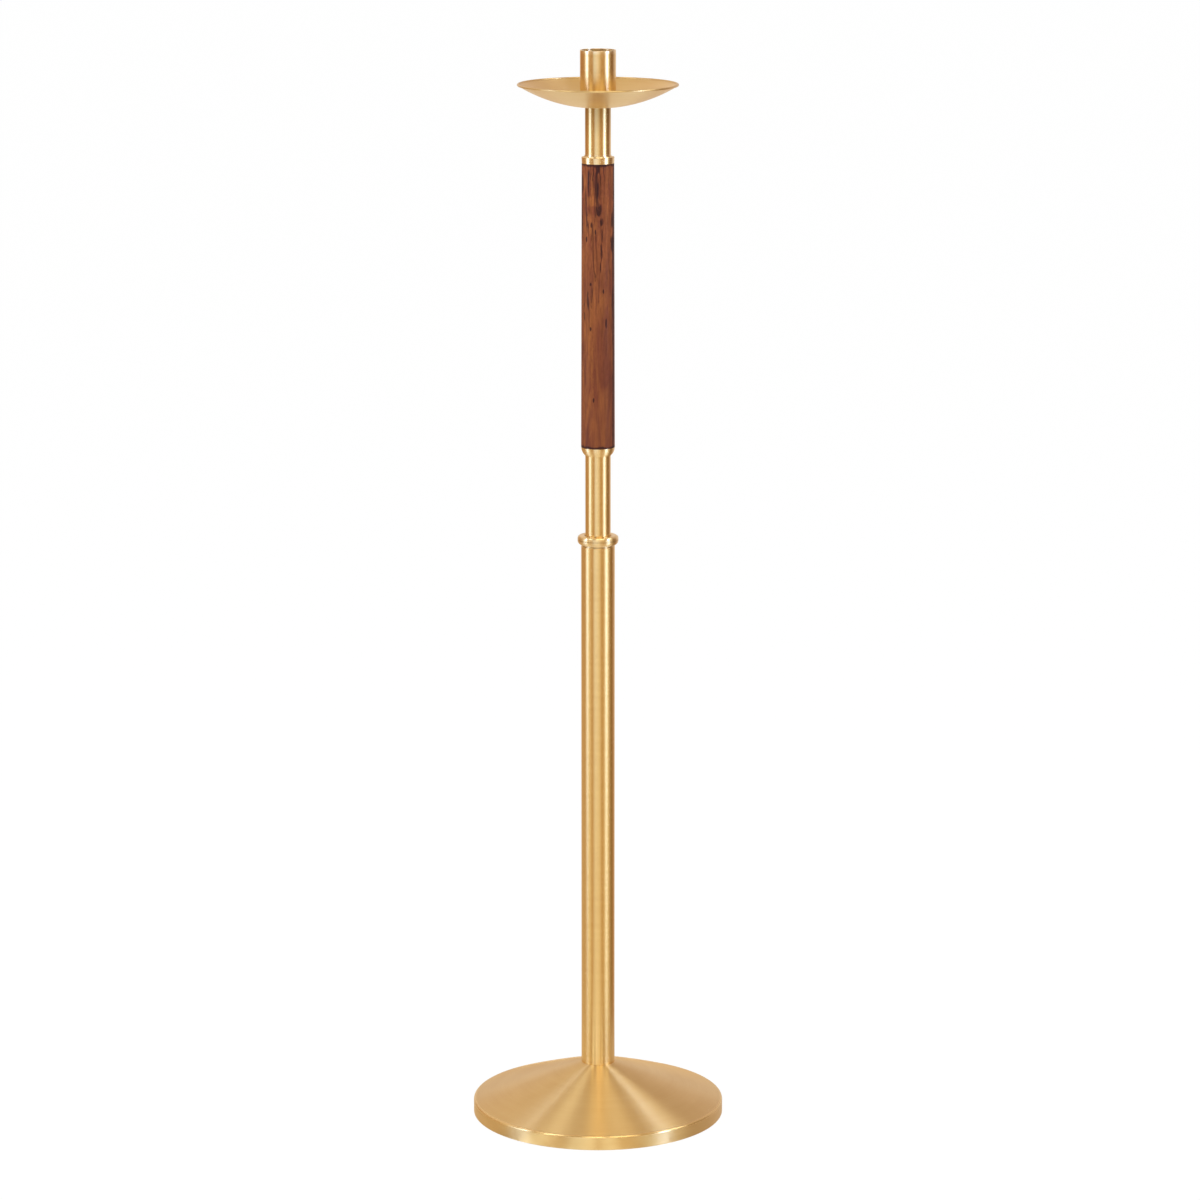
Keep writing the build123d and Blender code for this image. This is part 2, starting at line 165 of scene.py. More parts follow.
class TorchFinishes(bpy.types.PropertyGroup):
    """Colours and gloss of the torch's finishes."""

    brass: colour_property("Brass", "Colour of the brass", (0.86, 0.64, 0.31))
    brass_shade: colour_property("Brass shade", "Colour of the lacquer's darker clouds", (0.78, 0.54, 0.24))
    tube_gloss: share_property("Tube roughness", "Roughness of the tubes and socket", 0.24)
    ring_gloss: share_property("Ring roughness", "Roughness of the mouth ring", 0.3)
    cover_gloss: share_property("Cover roughness", "Roughness of the stand's cover", 0.38)
    pan_gloss: share_property("Pan roughness", "Roughness of the drip pan", 0.36)
    edge_gloss: share_property("Edge roughness", "Roughness of the cover's polished edge", 0.24)
    tube_wave: millimetres("Tube wave", "Depth of the tubes' faint waves", 0.05)
    line_spacing: millimetres("Line spacing", "Distance between turning marks", 0.35)
    line_depth: millimetres("Line depth", "Depth of the turning marks", 0.0016)
    wood_light: colour_property("Wood light", "Orange-brown zones of the grip", (0.46, 0.148, 0.043))
    wood_middle: colour_property("Wood", "Main reddish brown of the grip", (0.245, 0.064, 0.030))
    wood_plum: colour_property("Wood plum", "Plum-brown zones of the grip", (0.155, 0.040, 0.029))
    # Wood dark paints the grip's dark figure and also the painted shade at its ends and down its right side
    wood_dark: colour_property("Wood dark", "Dark figure of the grip", (0.028, 0.008, 0.011))
    felt_green: colour_property("Green felt", "Felt under the stand", (0.03, 0.11, 0.055))
    felt_grey: colour_property("Grey felt", "Pad that the staff rests on", (0.36, 0.35, 0.33))
    nylon: colour_property("Nylon", "Bush and cup inside the tube", (0.8, 0.79, 0.74))
    steel: colour_property("Steel", "Zinc-plated fasteners", (0.6, 0.6, 0.62))
    iron: colour_property("Iron", "Painted cast weight", (0.035, 0.036, 0.038))
    leather: colour_property("Leather", "Washer under the socket", (0.36, 0.17, 0.07))


class TorchStage(bpy.types.PropertyGroup):
    """The camera, the world and the fineness of turned pieces."""

    lens: FloatProperty(name="Lens", description="Focal length", default=128.55, min=1.0, unit="CAMERA")
    camera_place: FloatVectorProperty(
        name="Camera place", description="Where the camera stands", default=(0.002, -4.187, 1.4217),
        size=3, subtype="TRANSLATION", unit="LENGTH",
    )
    camera_pitch: FloatProperty(
        name="Camera pitch", description="How far the camera looks down", default=radians(11.97),
        subtype="ANGLE", unit="ROTATION",
    )
    sky_level: share_property("Sky level", "Strength of the world on matt surfaces", 0.45)
    mirror_level: share_property("Mirror level", "Strength of the world in the brass", 1.0)
    segments: IntProperty(name="Segments", description="Sides of a turned piece", default=192, min=24)


class Value:
    """Output of a node; sums with it add Math nodes to its tree."""

    def __init__(self, wires, socket):
        self.wires = wires
        self.socket = socket

    def maths(self, operation, *others, clamped=False):
        """Result of a Math node on this value and any others."""
        inputs = dict(enumerate((self, *others)))
        return self.wires.value("ShaderNodeMath", inputs, operation=operation, use_clamp=clamped)

    def __add__(self, other):
        return self.maths("ADD", other)

    def __sub__(self, other):
        return self.maths("SUBTRACT", other)

    def __rsub__(self, other):
        return self.wires.value("ShaderNodeMath", {0: other, 1: self}, operation="SUBTRACT")

    def __mul__(self, other):
        return self.maths("MULTIPLY", other)

    def __truediv__(self, other):
        return self.maths("DIVIDE", other)

    def remap(self, low, high, new_low=0.0, new_high=1.0):
        """This value moved from one range to another and kept inside it."""
        inputs = {"Value": self, "From Min": low, "From Max": high, "To Min": new_low, "To Max": new_high}
        return self.wires.value("ShaderNodeMapRange", inputs)


class Wiring:
    """Adds nodes to a tree and links or sets their inputs."""

    def __init__(self, tree):
        self.tree = tree

    def add(self, kind, inputs=None, **settings):
        """New node; inputs maps a socket's name or number to a Value or to a plain value."""
        node = self.tree.nodes.new(kind)
        for name, setting in settings.items():
            setattr(node, name, setting)
        for socket, value in (inputs or {}).items():
            if isinstance(value, Value):
                self.tree.links.new(value.socket, node.inputs[socket])
            else:
                node.inputs[socket].default_value = value
        return node

    def value(self, kind, inputs=None, output=0, **settings):
        """One output of a new node."""
        return Value(self, self.add(kind, inputs, **settings).outputs[output])

    def values(self, kind):
        """All the outputs of a new node, by name."""
        return {socket.name: Value(self, socket) for socket in self.add(kind).outputs}

    def combined(self, x, y, z):
        """Vector of three numbers."""
        return self.value("ShaderNodeCombineXYZ", {0: x, 1: y, 2: z})

    def separated(self, vector):
        """The three numbers of a vector."""
        return [Value(self, socket) for socket in self.add("ShaderNodeSeparateXYZ", {0: vector}).outputs]

    def noise(self, vector, scale, detail=2.0, roughness=0.5, distortion=0.0):
        """Grey value of a Noise texture."""
        inputs = {"Vector": vector, "Scale": scale, "Detail": detail}
        inputs.update({"Roughness": roughness, "Distortion": distortion})
        return self.value("ShaderNodeTexNoise", inputs, "Fac")

    def mixed(self, share, first, second, blend="MIX"):
        """Mix of two colours, which go into the Mix node's sockets 6 and 7."""
        inputs = {0: share}
        for socket, colour in ((6, first), (7, second)):
            inputs[socket] = colour if isinstance(colour, Value) else (*colour, 1)
        return self.value("ShaderNodeMix", inputs, 2, data_type="RGBA", blend_type=blend)

    def bumped(self, height, distance, normal=None):
        """Normal of a bump map."""
        inputs = {"Height": height, "Distance": distance, "Strength": 1.0}
        if normal:
            inputs["Normal"] = normal
        return self.value("ShaderNodeBump", inputs)


def turning_tree():
    """Geometry Nodes that turn a section about the Z axis and cut threads where it asks for them."""
    tree = bpy.data.node_groups.new("Turned form", "GeometryNodeTree")
    for name, kind, default in (
        ("Section", "Geometry", None),
        ("Segments", "Int", 192),
        ("Merge Distance", "Float", MICRON),
        ("Crease Angle", "Float", radians(35)),
        ("Thread Pitch", "Float", 1.5 * MM),
        ("Thread Depth", "Float", 0.0),
        ("Material", "Material", None),
    ):
        socket = tree.interface.new_socket(name, in_out="INPUT", socket_type="NodeSocket" + kind)
        if default is not None:
            socket.default_value = default
    tree.interface.new_socket("Geometry", in_out="OUTPUT", socket_type="NodeSocketGeometry")
    wires = Wiring(tree)
    given = wires.values("NodeGroupInput")
    section = given["Section"]
    rows = wires.value(
        "GeometryNodeAttributeDomainSize", {"Geometry": section}, "Point Count", component="MESH"
    )
    counts = {"Vertices X": given["Segments"] + 1, "Vertices Y": rows}
    grid = wires.value("GeometryNodeMeshGrid", counts, "Mesh")
    index = wires.value("GeometryNodeInputIndex")
    row = index.maths("MODULO", rows)
    turn = (index / rows).maths("FLOOR") / given["Segments"]
    angle = turn * (2 * pi) + pi / 2

    def sampled(kind, value):
        """Value at the section's point that this point of the grid follows."""
        inputs = {"Geometry": section, "Value": value, "Index": row}
        return wires.value("GeometryNodeSampleIndex", inputs, data_type=kind, domain="POINT")

    def attribute(name):
        return wires.value("GeometryNodeInputNamedAttribute", {"Name": name}, data_type="FLOAT")

    x, _, z = wires.separated(sampled("FLOAT_VECTOR", wires.value("GeometryNodeInputPosition")))
    run = sampled("FLOAT", attribute("run"))
    threaded = sampled("FLOAT", attribute("thread"))
    wave = (z / given["Thread Pitch"] - turn).maths("PINGPONG", 0.5) * 2
    radius = x - wave * given["Thread Depth"] * threaded
    position = wires.combined(radius * angle.maths("COSINE"), radius * angle.maths("SINE"), z)
    placed = wires.value("GeometryNodeSetPosition", {"Geometry": grid, "Position": position})
    stored = wires.value(
        "GeometryNodeStoreNamedAttribute", {"Geometry": placed, "Name": "run", "Value": run},
        data_type="FLOAT", domain="POINT",
    )
    closed = wires.value(
        "GeometryNodeMergeByDistance", {"Geometry": stored, "Distance": given["Merge Distance"]}
    )
    bend = wires.value("GeometryNodeInputMeshEdgeAngle", output="Unsigned Angle")
    sharp = wires.value(
        "FunctionNodeCompare", {"A": bend, "B": given["Crease Angle"]}, operation="GREATER_THAN"
    )
    smooth = wires.value(
        "GeometryNodeSetShadeSmooth",
        {"Geometry": closed, "Selection": sharp, "Shade Smooth": False},
        domain="EDGE",
    )
    whole = wires.value("GeometryNodeRealizeInstances", {"Geometry": smooth})
    dressed = wires.value(
        "GeometryNodeSetMaterial", {"Geometry": whole, "Material": given["Material"]}
    )
    wires.add("NodeGroupOutput", {"Geometry": dressed})
    return tree


def arc_about(centre, radius, start, end, steps):
    """Points on an arc in the (radius, height) plane, from one angle to another."""
    angles = [start + (end - start) * i / steps for i in range(steps + 1)]
    return [(centre[0] + radius * cos(a), centre[1] + radius * sin(a)) for a in angles]


def bowed(start, end, bow, steps):
    """Points on a shallow arc from start to end, swollen by bow to the right of its way."""
    start, end = Vector(start), Vector(end)
    way = end - start
    radius = (way.length / 2) ** 2 / (2 * bow) + bow / 2
    left = Vector((-way.y, way.x)).normalized()
    centre = (start + end) / 2 + left * (radius - bow)
    first = atan2(*(start - centre).yx)
    return arc_about(centre, radius, first, first + 2 * asin(way.length / 2 / radius), steps)


def rounded(*corners, closed=True, steps=8):
    """Points along a section from (radius, height) corners, each with its rounding if it has one.

    A rounding is led into by a short flat on each side, so that it doesn't shade the flat beyond.
    """
    points = []
    for i, (r, z, *rounding) in enumerate(corners):
        here = Vector((r, z))
        if not any(rounding):
            points.append(here)
            continue
        radius = rounding[0]
        before = Vector(corners[i - 1][:2]) - here
        after = Vector(corners[(i + 1) % len(corners)][:2]) - here
        half = before.angle(after) / 2
        reach = radius / tan(half)
        leads = [min(radius, (side.length - reach) / 4) for side in (before, after)]
        before.normalize()
        after.normalize()
        start, end = here + before * reach, here + after * reach
        centre = here + (before + after).normalized() * radius / sin(half)
        first = atan2(*(start - centre).yx)
        turn = (atan2(*(end - centre).yx) - first + pi) % (2 * pi) - pi
        points.append(start + before * leads[0])
        points += [Vector(p) for p in arc_about(centre, radius, first, first + turn, steps)]
        points.append(end + after * leads[1])
    return points + points[:1] if closed else points


def ring_section(outer, inner, low, high, edge):
    """Section of a plain turned ring."""
    return rounded((inner, low, edge), (outer, low, edge), (outer, high, edge), (inner, high, edge))


def section_mesh(name, points, threads):
    """Open chain of a section's points; run is the length along it, thread is 1 inside the threads."""
    mesh = bpy.data.meshes.new(name)
    mesh.from_pydata([(x, 0, z) for x, z in points], [(i, i + 1) for i in range(len(points) - 1)], [])
    run = mesh.attributes.new("run", "FLOAT", "POINT")
    thread = mesh.attributes.new("thread", "FLOAT", "POINT")
    length = 0.0
    for i, (x, z) in enumerate(points):
        if i:
            length += (Vector(points[i]) - Vector(points[i - 1])).length
        run.data[i].value = length
        thread.data[i].value = any(low < z < high and abs(x - r) < MICRON for low, high, r in threads)
    return mesh


def shown(name, data):
    """New object in the scene."""
    piece = bpy.data.objects.new(name, data)
    bpy.context.scene.collection.objects.link(piece)
    return piece


def settled(piece):
    """Turns the piece and its modifiers into a plain mesh whose faces point outwards."""
    graph = bpy.context.evaluated_depsgraph_get()
    mesh = bpy.data.meshes.new_from_object(piece.evaluated_get(graph), depsgraph=graph)
    piece.modifiers.clear()
    piece.data = mesh
    mesh.name = piece.name
    shell = bmesh.new()
    shell.from_mesh(mesh)
    bmesh.ops.recalc_face_normals(shell, faces=shell.faces)
    shell.to_mesh(mesh)
    shell.free()


def cut_away(piece, cutter):
    """Cuts another object's shape out of the piece and removes that object."""
    cut = piece.modifiers.new("Cut", "BOOLEAN")
    cut.object = cutter
    cut.solver = "EXACT"
    settled(piece)
    bpy.data.objects.remove(cutter)


def turned(node, points, material, inputs=None, threads=(), cutter=None):
    """Piece turned from a section's points, which stands for a node and rides on its body."""
    tree = bpy.data.node_groups.get("Turned form") or turning_tree()
    piece = shown("turned_" + node, section_mesh(node + "_section", points, threads))
    modifier = piece.modifiers.new("Turned form", "NODES")
    modifier.node_group = tree
    values = {"Segments": bpy.context.scene.torch_stage.segments, "Material": material, **(inputs or {})}
    for item in tree.interface.items_tree:
        if item.name in values:
            modifier[item.identifier] = values[item.name]
    settled(piece)
    if cutter:
        cut_away(piece, cutter)
    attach(piece, NODE_BODY[node])
    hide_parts(node)
    return piece


def turned_ring(node, bore, edge, material):
    """Plain tube, bush or washer turned in a node's place."""
    radius, low, high = span(node)
    turned(node, ring_section(radius, bore, low, high, edge), material)


def felt_round(node, material, edge_share):
    """Round of felt laid on the piece below, with eased edges."""
    radius, low, high = span(node)
    edge = (high - low) * edge_share
    points = rounded((0, low), (radius, low, edge), (radius, high, edge), (0, high), closed=False)
    piece = turned(node, points, material)


def dress(material, *nodes):
    """Gives CAD nodes a material."""
    for node in nodes:
        piece = frame["nodes"][node]
        if not piece.material_slots:
            piece.data.materials.append(material)
        for place in piece.material_slots:
            place.material = material


def finishes():
    """The finishes that the user has set."""
    return bpy.context.scene.torch_finishes


def cleared(block):
    """Wiring of a material's or a world's emptied tree."""
    block.use_nodes = True
    block.node_tree.nodes.clear()
    return Wiring(block.node_tree)


def new_material(name):
    """Empty material, its wiring and the place on the object that its patterns follow."""
    material = bpy.data.materials.new(name)
    wires = cleared(material)
    return material, wires, wires.value("ShaderNodeTexCoord", output="Object")


def shaded(material, wires, inputs):
    """The material, closed with a Principled shader that has these inputs."""
    shader = wires.value("ShaderNodeBsdfPrincipled", inputs)
    wires.add("ShaderNodeOutputMaterial", {"Surface": shader})
    return material


@cache
def brass_material(name, roughness, anisotropy, wave=0.0, tints=(), upright=0.0, polished=None):
    """Lacquered brass with turning marks.

    Each tint is the level where it starts, the level where it is full, its share there and its colour.
    upright is the share of a face's tilt that its shine ignores, so that a bead mirrors as a tube does.
    polished is the lowest and the highest level of a band, and the roughness there.
    """
    finish = finishes()
    material, wires, place = new_material(name)
    x, y, z = wires.separated(place)
    run = wires.value("ShaderNodeAttribute", output="Fac", attribute_name="run")
    fading = 14.0

    def marks(spacing, detail):
        """Lines round the axis, spaced along the section, which fade in and out on their way round."""
        return wires.noise(wires.combined(x * fading, y * fading, run / spacing), 1.0, detail, 0.6)

    fine = marks(finish.line_spacing, 2.0)
    broad = marks(finish.line_spacing * 16, 3.0)
    cloud = wires.noise(place, scale=22.0, detail=4.0, roughness=0.55)
    patches = (broad * 0.5 + cloud * 0.5).remap(0.35, 0.65)
    colour = wires.mixed(patches * 0.45, finish.brass, finish.brass_shade)
    for start, full, share, tint in tints:
        colour = wires.mixed(z.remap(start, full, 0.0, share), colour, tint)
    gloss = (fine * 0.6 + cloud * 0.4).remap(0.3, 0.7, roughness * 0.85, roughness * 1.15)
    if polished:
        low, high, shine = polished
        feather = (high - low) / 6
        inside = z.remap(low, low + feather) * z.remap(high - feather, high, 1.0, 0.0)
        gloss = gloss * (1.0 - inside) + inside * shine
    normal = None
    if upright:
        facing = wires.separated(wires.value("ShaderNodeNewGeometry", output="Normal"))
        leaned = wires.combined(facing[0], facing[1], facing[2] * (1.0 - upright))
        normal = wires.value("ShaderNodeVectorMath", {0: leaned}, operation="NORMALIZE")
    if wave:
        ripples = wires.noise(place, scale=75.0, detail=2.0, roughness=0.55)
        normal = wires.bumped(ripples, wave, normal)
    return shaded(material, wires, {
        "Base Color": colour,
        "Metallic": 1.0,
        "Roughness": gloss,
        "Anisotropic": anisotropy,
        "Anisotropic Rotation": 0.25,
        "Tangent": wires.value("ShaderNodeTangent", direction_type="RADIAL", axis="Z"),
        "Normal": wires.bumped(fine, finish.line_depth, normal),
    })


def tube_brass(name="Tube brass", tints=(), upright=0.0):
    """Brass of the tubes and plugs, or the same with tints for another piece."""
    finish = finishes()
    return brass_material(name, finish.tube_gloss, 0.75, finish.tube_wave, tints, upright)


def all_over(share, colour):
    """Tint of a whole piece, which is full from the floor up."""
    return -MM, 0.0, share, colour


def neck_brass():
    """Brass of the neck, with painted shade that darkens it towards the pan."""
    top = span("neck_tube").high
    # Painted shade: the neck darkens towards the pan above it
    return tube_brass("Neck brass", ((top - 32 * MM, top - 4 * MM, 0.33, BLACK),))


def socket_brass():
    """Brass of the candle socket, with painted highlights that pale it at its mouth and its foot."""
    _, foot, mouth = span("candle_socket")
    # Painted highlights: the brass turns pale near the socket's mouth and near its foot
    painted_highlights = ((mouth - 4 * MM, mouth - MM, 0.6, PALE), (foot + 16 * MM, foot + 4 * MM, 0.45, PALE))
    return tube_brass("Socket brass", painted_highlights)


def ferrule_brass():
    """Brass of the ferrules, paler than the tubes all over as a painted highlight that brightens their
    shine.
    """
    # Painted highlight: the pale tint brightens the whole ferrule's shine
    return tube_brass("Ferrule brass", (all_over(0.22, PALE),), upright=0.85)


def ring_brass():
    """Brass of the mouth ring, paler than the tubes, with painted shade that darkens the groove under its
    bead.
    """
    finish = finishes()
    bead = span("stand_tube").high + bpy.context.scene.torch_stand.groove_height
    # The black tint is painted shade in the groove under the bead; the pale tint is the ring's own paler
    # tone
    tints = (all_over(0.2, PALE), (bead, bead - 0.4 * MM, 0.25, BLACK))
    return brass_material("Ring brass", finish.ring_gloss, 0.9, finish.tube_wave, tints, upright=0.62)


def cover_brass():
    """Brass of the stand's spun cover, polished along its edge."""
    finish = finishes()
    level = bpy.context.scene.torch_stand.rim_height
    edge = (level - 2 * MM, level + MM, finish.edge_gloss)
    return brass_material("Cover brass", finish.cover_gloss, 1.0, polished=edge)


def pan_brass():
    """Brass of the spun drip pan, with painted shade that darkens the shine of its lip."""
    lip = span("drip_pan").high - bpy.context.scene.torch_top.pan_lip
    # Painted shade: the lip's brass is darkened to dim its shine
    return brass_material("Pan brass", finishes().pan_gloss, 0.8, tints=((lip, lip + MM, 0.12, BLACK),))


# Dark veins down the grip's front, as shares: across, level, half width, half height
GRIP_VEINS = (
    (-0.90, 0.93, 0.07, 0.04), (-0.55, 0.945, 0.055, 0.06), (-0.24, 0.975, 0.04, 0.025),
    (-0.02, 0.985, 0.11, 0.022), (-0.02, 0.907, 0.07, 0.032), (0.07, 0.843, 0.21, 0.025),
    (0.20, 0.80, 0.12, 0.016), (0.24, 0.755, 0.05, 0.03), (0.2, 0.69, 0.06, 0.04),
    (-0.40, 0.79, 0.05, 0.012), (-0.15, 0.765, 0.05, 0.01), (-0.66, 0.74, 0.06, 0.012),
    (0.84, 0.80, 0.10, 0.035), (0.82, 0.725, 0.13, 0.035), (0.15, 0.645, 0.05, 0.025),
    (-0.43, 0.582, 0.08, 0.008), (0.33, 0.557, 0.05, 0.01), (0.48, 0.445, 0.06, 0.018),
    (-0.43, 0.425, 0.07, 0.01), (-0.26, 0.174, 0.06, 0.01),
)
# A long dark stripe down its right side, painted shade where the light falls off, and its orange patches,
# as the same shares
RIGHT_SIDE_SHADE = (0.90, 0.4, 0.07, 0.95)
GRIP_PATCHES = (
    (-0.74, 0.95, 0.12, 0.045), (-0.32, 0.93, 0.12, 0.05), (-0.36, 0.87, 0.48, 0.022),
    (-0.38, 0.775, 0.50, 0.06), (0.19, 0.53, 0.10, 0.024), (-0.6, 0.3, 0.4, 0.28),
)


@cache
def grip_wood():
    """Reddish brown hardwood with dark figure, under satin lacquer."""
    finish = finishes()
    material, wires, place = new_material("Grip wood")
    x, y, z = wires.separated(place)
    side, low, high = span("wood_grip")

    def grain(across, along, detail, roughness, distortion=0.0, slant=0.0):
        """Noise with so many patches a metre across the grip and along it."""
        vector = wires.combined((x + z * slant) * across, y * across, z * along)
        return wires.noise(vector, 1.0, detail, roughness, distortion)

    height = z.remap(low, high)
    front = y.maths("LESS_THAN", 0.0)
    ragged = grain(300.0, 70.0, 4.0, 0.65, 0.8) - 0.5

    def spot(shares, raggedness, sharpness):
        """Share of a ragged oval on the grip's front."""
        across, level, wide, tall = shares
        aside = ((x - across * side) / (wide * side)).maths("POWER", 2.0)
        along = ((height - level) / tall).maths("POWER", 2.0)
        inside = 1.0 - (aside + along) + ragged * raggedness
        return inside.maths("MULTIPLY", sharpness, clamped=True) * front

    zones = grain(90.0, 14.0, 3.0, 0.6, 0.6, 0.02).remap(0.38, 0.66, 0.0, 0.72)
    colour = wires.mixed(zones, finish.wood_middle, finish.wood_light)
    for patch in GRIP_PATCHES:
        colour = wires.mixed(spot(patch, 4.0, 0.9) * 0.8, colour, finish.wood_light)
    plum = grain(70.0, 8.0, 3.0, 0.6, 0.7, -0.03).remap(0.5, 0.66)
    colour = wires.mixed(plum * 0.6, colour, finish.wood_plum)
    threshold = height.remap(0.15, 0.8, 0.67, 0.56)
    veins = grain(230.0, 20.0, 5.0, 0.62, 0.9, 0.03) - threshold
    colour = wires.mixed(veins.maths("MULTIPLY", 14.0, clamped=True) * 0.75, colour, finish.wood_dark)
    for vein in GRIP_VEINS:
        colour = wires.mixed(spot(vein, 3.0, 1.6) * 0.85, colour, finish.wood_dark)
    # Painted shade: a dark stripe down the grip's right side
    colour = wires.mixed(spot(RIGHT_SIDE_SHADE, 2.6, 1.6) * 0.8, colour, finish.wood_dark)
    depth = height.remap(0.25, 0.95, 0.28, 0.95)
    fibres = grain(360.0, 26.0, 4.0, 0.7, 0.7).remap(0.34, 0.66, 0.66, 1.36)
    flecks = grain(420.0, 230.0, 3.0, 0.7).remap(0.3, 0.7, 0.8, 1.2)
    for figure in (fibres, flecks):
        colour = wires.mixed(depth, colour, wires.mixed(1.0, colour, figure, blend="MULTIPLY"))
    # Painted light: the grip is darker towards its foot and lighter towards its head
    colour = wires.mixed(1.0, colour, height.remap(0.3, 0.9, 0.93, 1.08), blend="MULTIPLY")
    pores = grain(1300.0, 55.0, 2.0, 0.5)
    colour = wires.mixed(pores.remap(0.58, 0.75) * 0.3, colour, finish.wood_dark)
    # Painted shade: dark wavy bands at both ends of the grip, under the ferrules and in the joints
    wavered = z + (grain(150.0, 60.0, 2.0, 0.5) - 0.5) * (7 * MM)
    foot = wavered.remap(low + 1.6 * MM, low + 3.0 * MM, 1.0, 0.0)
    head = wavered.remap(high - 3.0 * MM, high - 1.5 * MM)
    return shaded(material, wires, {
        "Base Color": wires.mixed(foot.maths("MAXIMUM", head) * 0.85, colour, finish.wood_dark),
        "Roughness": pores.remap(0.3, 0.8, 0.42, 0.6),
        "Specular IOR Level": 0.22,
        "Normal": wires.bumped(1.0 - pores, 12 * MICRON),
    })


@cache
def felt_material(name, colour):
    """Dense pressed felt with tangled fibres."""
    material, wires, place = new_material(name)
    fibres = wires.noise(place, scale=2600.0, detail=6.0, roughness=0.75, distortion=1.5)
    clumps = wires.noise(place, scale=420.0, detail=4.0, roughness=0.6, distortion=0.5)
    tone = fibres * 0.6 + clumps * 0.4
    dark = [c * 0.6 for c in colour]
    light = [min(1.0, c * 1.5 + 0.01) for c in colour]
    return shaded(material, wires, {
        "Base Color": wires.mixed(tone.remap(0.35, 0.65), dark, light),
        "Roughness": 0.95,
        "Sheen Weight": 0.35,
        "Sheen Roughness": 0.5,
        "Normal": wires.bumped(tone, 0.25 * MM),
    })


@cache
def nylon_material():
    """Turned off-white nylon."""
    nylon = finishes().nylon
    material, wires, place = new_material("White nylon")
    x, y, z = wires.separated(place)
    rings = wires.noise(wires.combined(x, y, z * 60.0), scale=60.0)
    cloud = wires.noise(place, scale=90.0, detail=3.0)
    return shaded(material, wires, {
        "Base Color": wires.mixed(cloud, nylon, [c * 0.92 for c in nylon]),
        "Roughness": rings.remap(0.3, 0.7, 0.42, 0.55),
        "Normal": wires.bumped(rings, 6 * MICRON),
    })


@cache
def steel_material():
    """Zinc-plated steel with a faint crystalline cast."""
    steel = finishes().steel
    material, wires, place = new_material("Plated steel")
    cloud = wires.noise(place, scale=260.0, detail=5.0, roughness=0.6, distortion=0.6)
    fine = wires.noise(place, scale=1800.0, detail=3.0)
    warm = (steel[0], steel[1] * 0.96, steel[2] * 0.86)
    return shaded(material, wires, {
        "Base Color": wires.mixed(cloud, steel, warm),
        "Metallic": 1.0,
        "Roughness": cloud.remap(0.3, 0.7, 0.3, 0.46),
        "Normal": wires.bumped(fine, 5 * MICRON),
    })


@cache
def iron_material():
    """Rough cast iron under black paint."""
    iron = finishes().iron
    material, wires, place = new_material("Painted iron")
    sand = wires.noise(place, scale=700.0, detail=5.0, roughness=0.65)
    cloud = wires.noise(place, scale=40.0, detail=3.0)
    return shaded(material, wires, {
        "Base Color": wires.mixed(cloud, iron, [c * 1.7 for c in iron]),
        "Roughness": sand.remap(0.3, 0.7, 0.45, 0.65),
        "Normal": wires.bumped(sand, 0.12 * MM),
    })


@cache
def leather_material():
    """Pressed tan leather."""
    leather = finishes().leather
    material, wires, place = new_material("Tan leather")
    inputs = {"Vector": place, "Scale": 1400.0}
    pebbles = wires.value("ShaderNodeTexVoronoi", inputs, "Distance", feature="F1")
    cloud = wires.noise(place, scale=180.0, detail=3.0)
    return shaded(material, wires, {
        "Base Color": wires.mixed(cloud, leather, [c * 0.55 for c in leather]),
        "Roughness": 0.6,
        "Normal": wires.bumped(pebbles, 60 * MICRON),
    })


class TORCH_OT_base_cover(bpy.types.Operator):
    """Spin the stand's brass cover: an upright rim, a slightly bowed cone and a flat crown"""

    bl_idname = "torch.base_cover"
    bl_label = "Base cover"

    def execute(self, context):
        sizes = context.scene.torch_stand
        rim, foot, crown = span("base_cover")
        neck = span("stand_tube").radius
        wall = sizes.cover_wall
        slope = atan2(crown - sizes.rim_height, rim - neck)
        inner_corner = (rim - wall, sizes.rim_height - wall * (1 / cos(slope) - tan(slope)))
        inner_neck = neck - wall * tan(slope / 2)
        outside = bowed((rim, sizes.rim_height), (neck, crown), sizes.cone_bow, steps=24)
        inside = bowed(inner_corner, (inner_neck, crown - wall), sizes.cone_bow, steps=24)
        points = rounded(
            (rim - wall, foot, wall / 4),
            (rim, foot, wall / 4),
            (*outside[0], sizes.rim_edge),
            *outside[1:],
            (sizes.bolt_hole, crown),
            (sizes.bolt_hole, crown - wall),
            *reversed(inside[1:]),
            (*inside[0], sizes.rim_edge - wall),
        )
        fine = {"Segments": 2 * context.scene.torch_stage.segments}
        turned("base_cover", points, cover_brass(), inputs=fine)
        return {"FINISHED"}


class TORCH_OT_base_inside(bpy.types.Operator):
    """Finish the cast weight, bottom plate, screws, clamp bolt and washers"""

    bl_idname = "torch.base_inside"
    bl_label = "Inside of the base"

    def execute(self, context):
        dress(iron_material(), "base_weight")
        dress(steel_material(), "base_plate", "plate_screws", "clamp_bolt", "clamp_washer", "lock_washer")
        return {"FINISHED"}


class TORCH_OT_base_felt(bpy.types.Operator):
    """Lay the round of green felt under the bottom plate"""

    bl_idname = "torch.base_felt"
    bl_label = "Base felt"

    def execute(self, context):
        felt = felt_material("Green felt", finishes().felt_green[:])
        felt_round("base_felt", felt, edge_share=1 / 3)
        return {"FINISHED"}


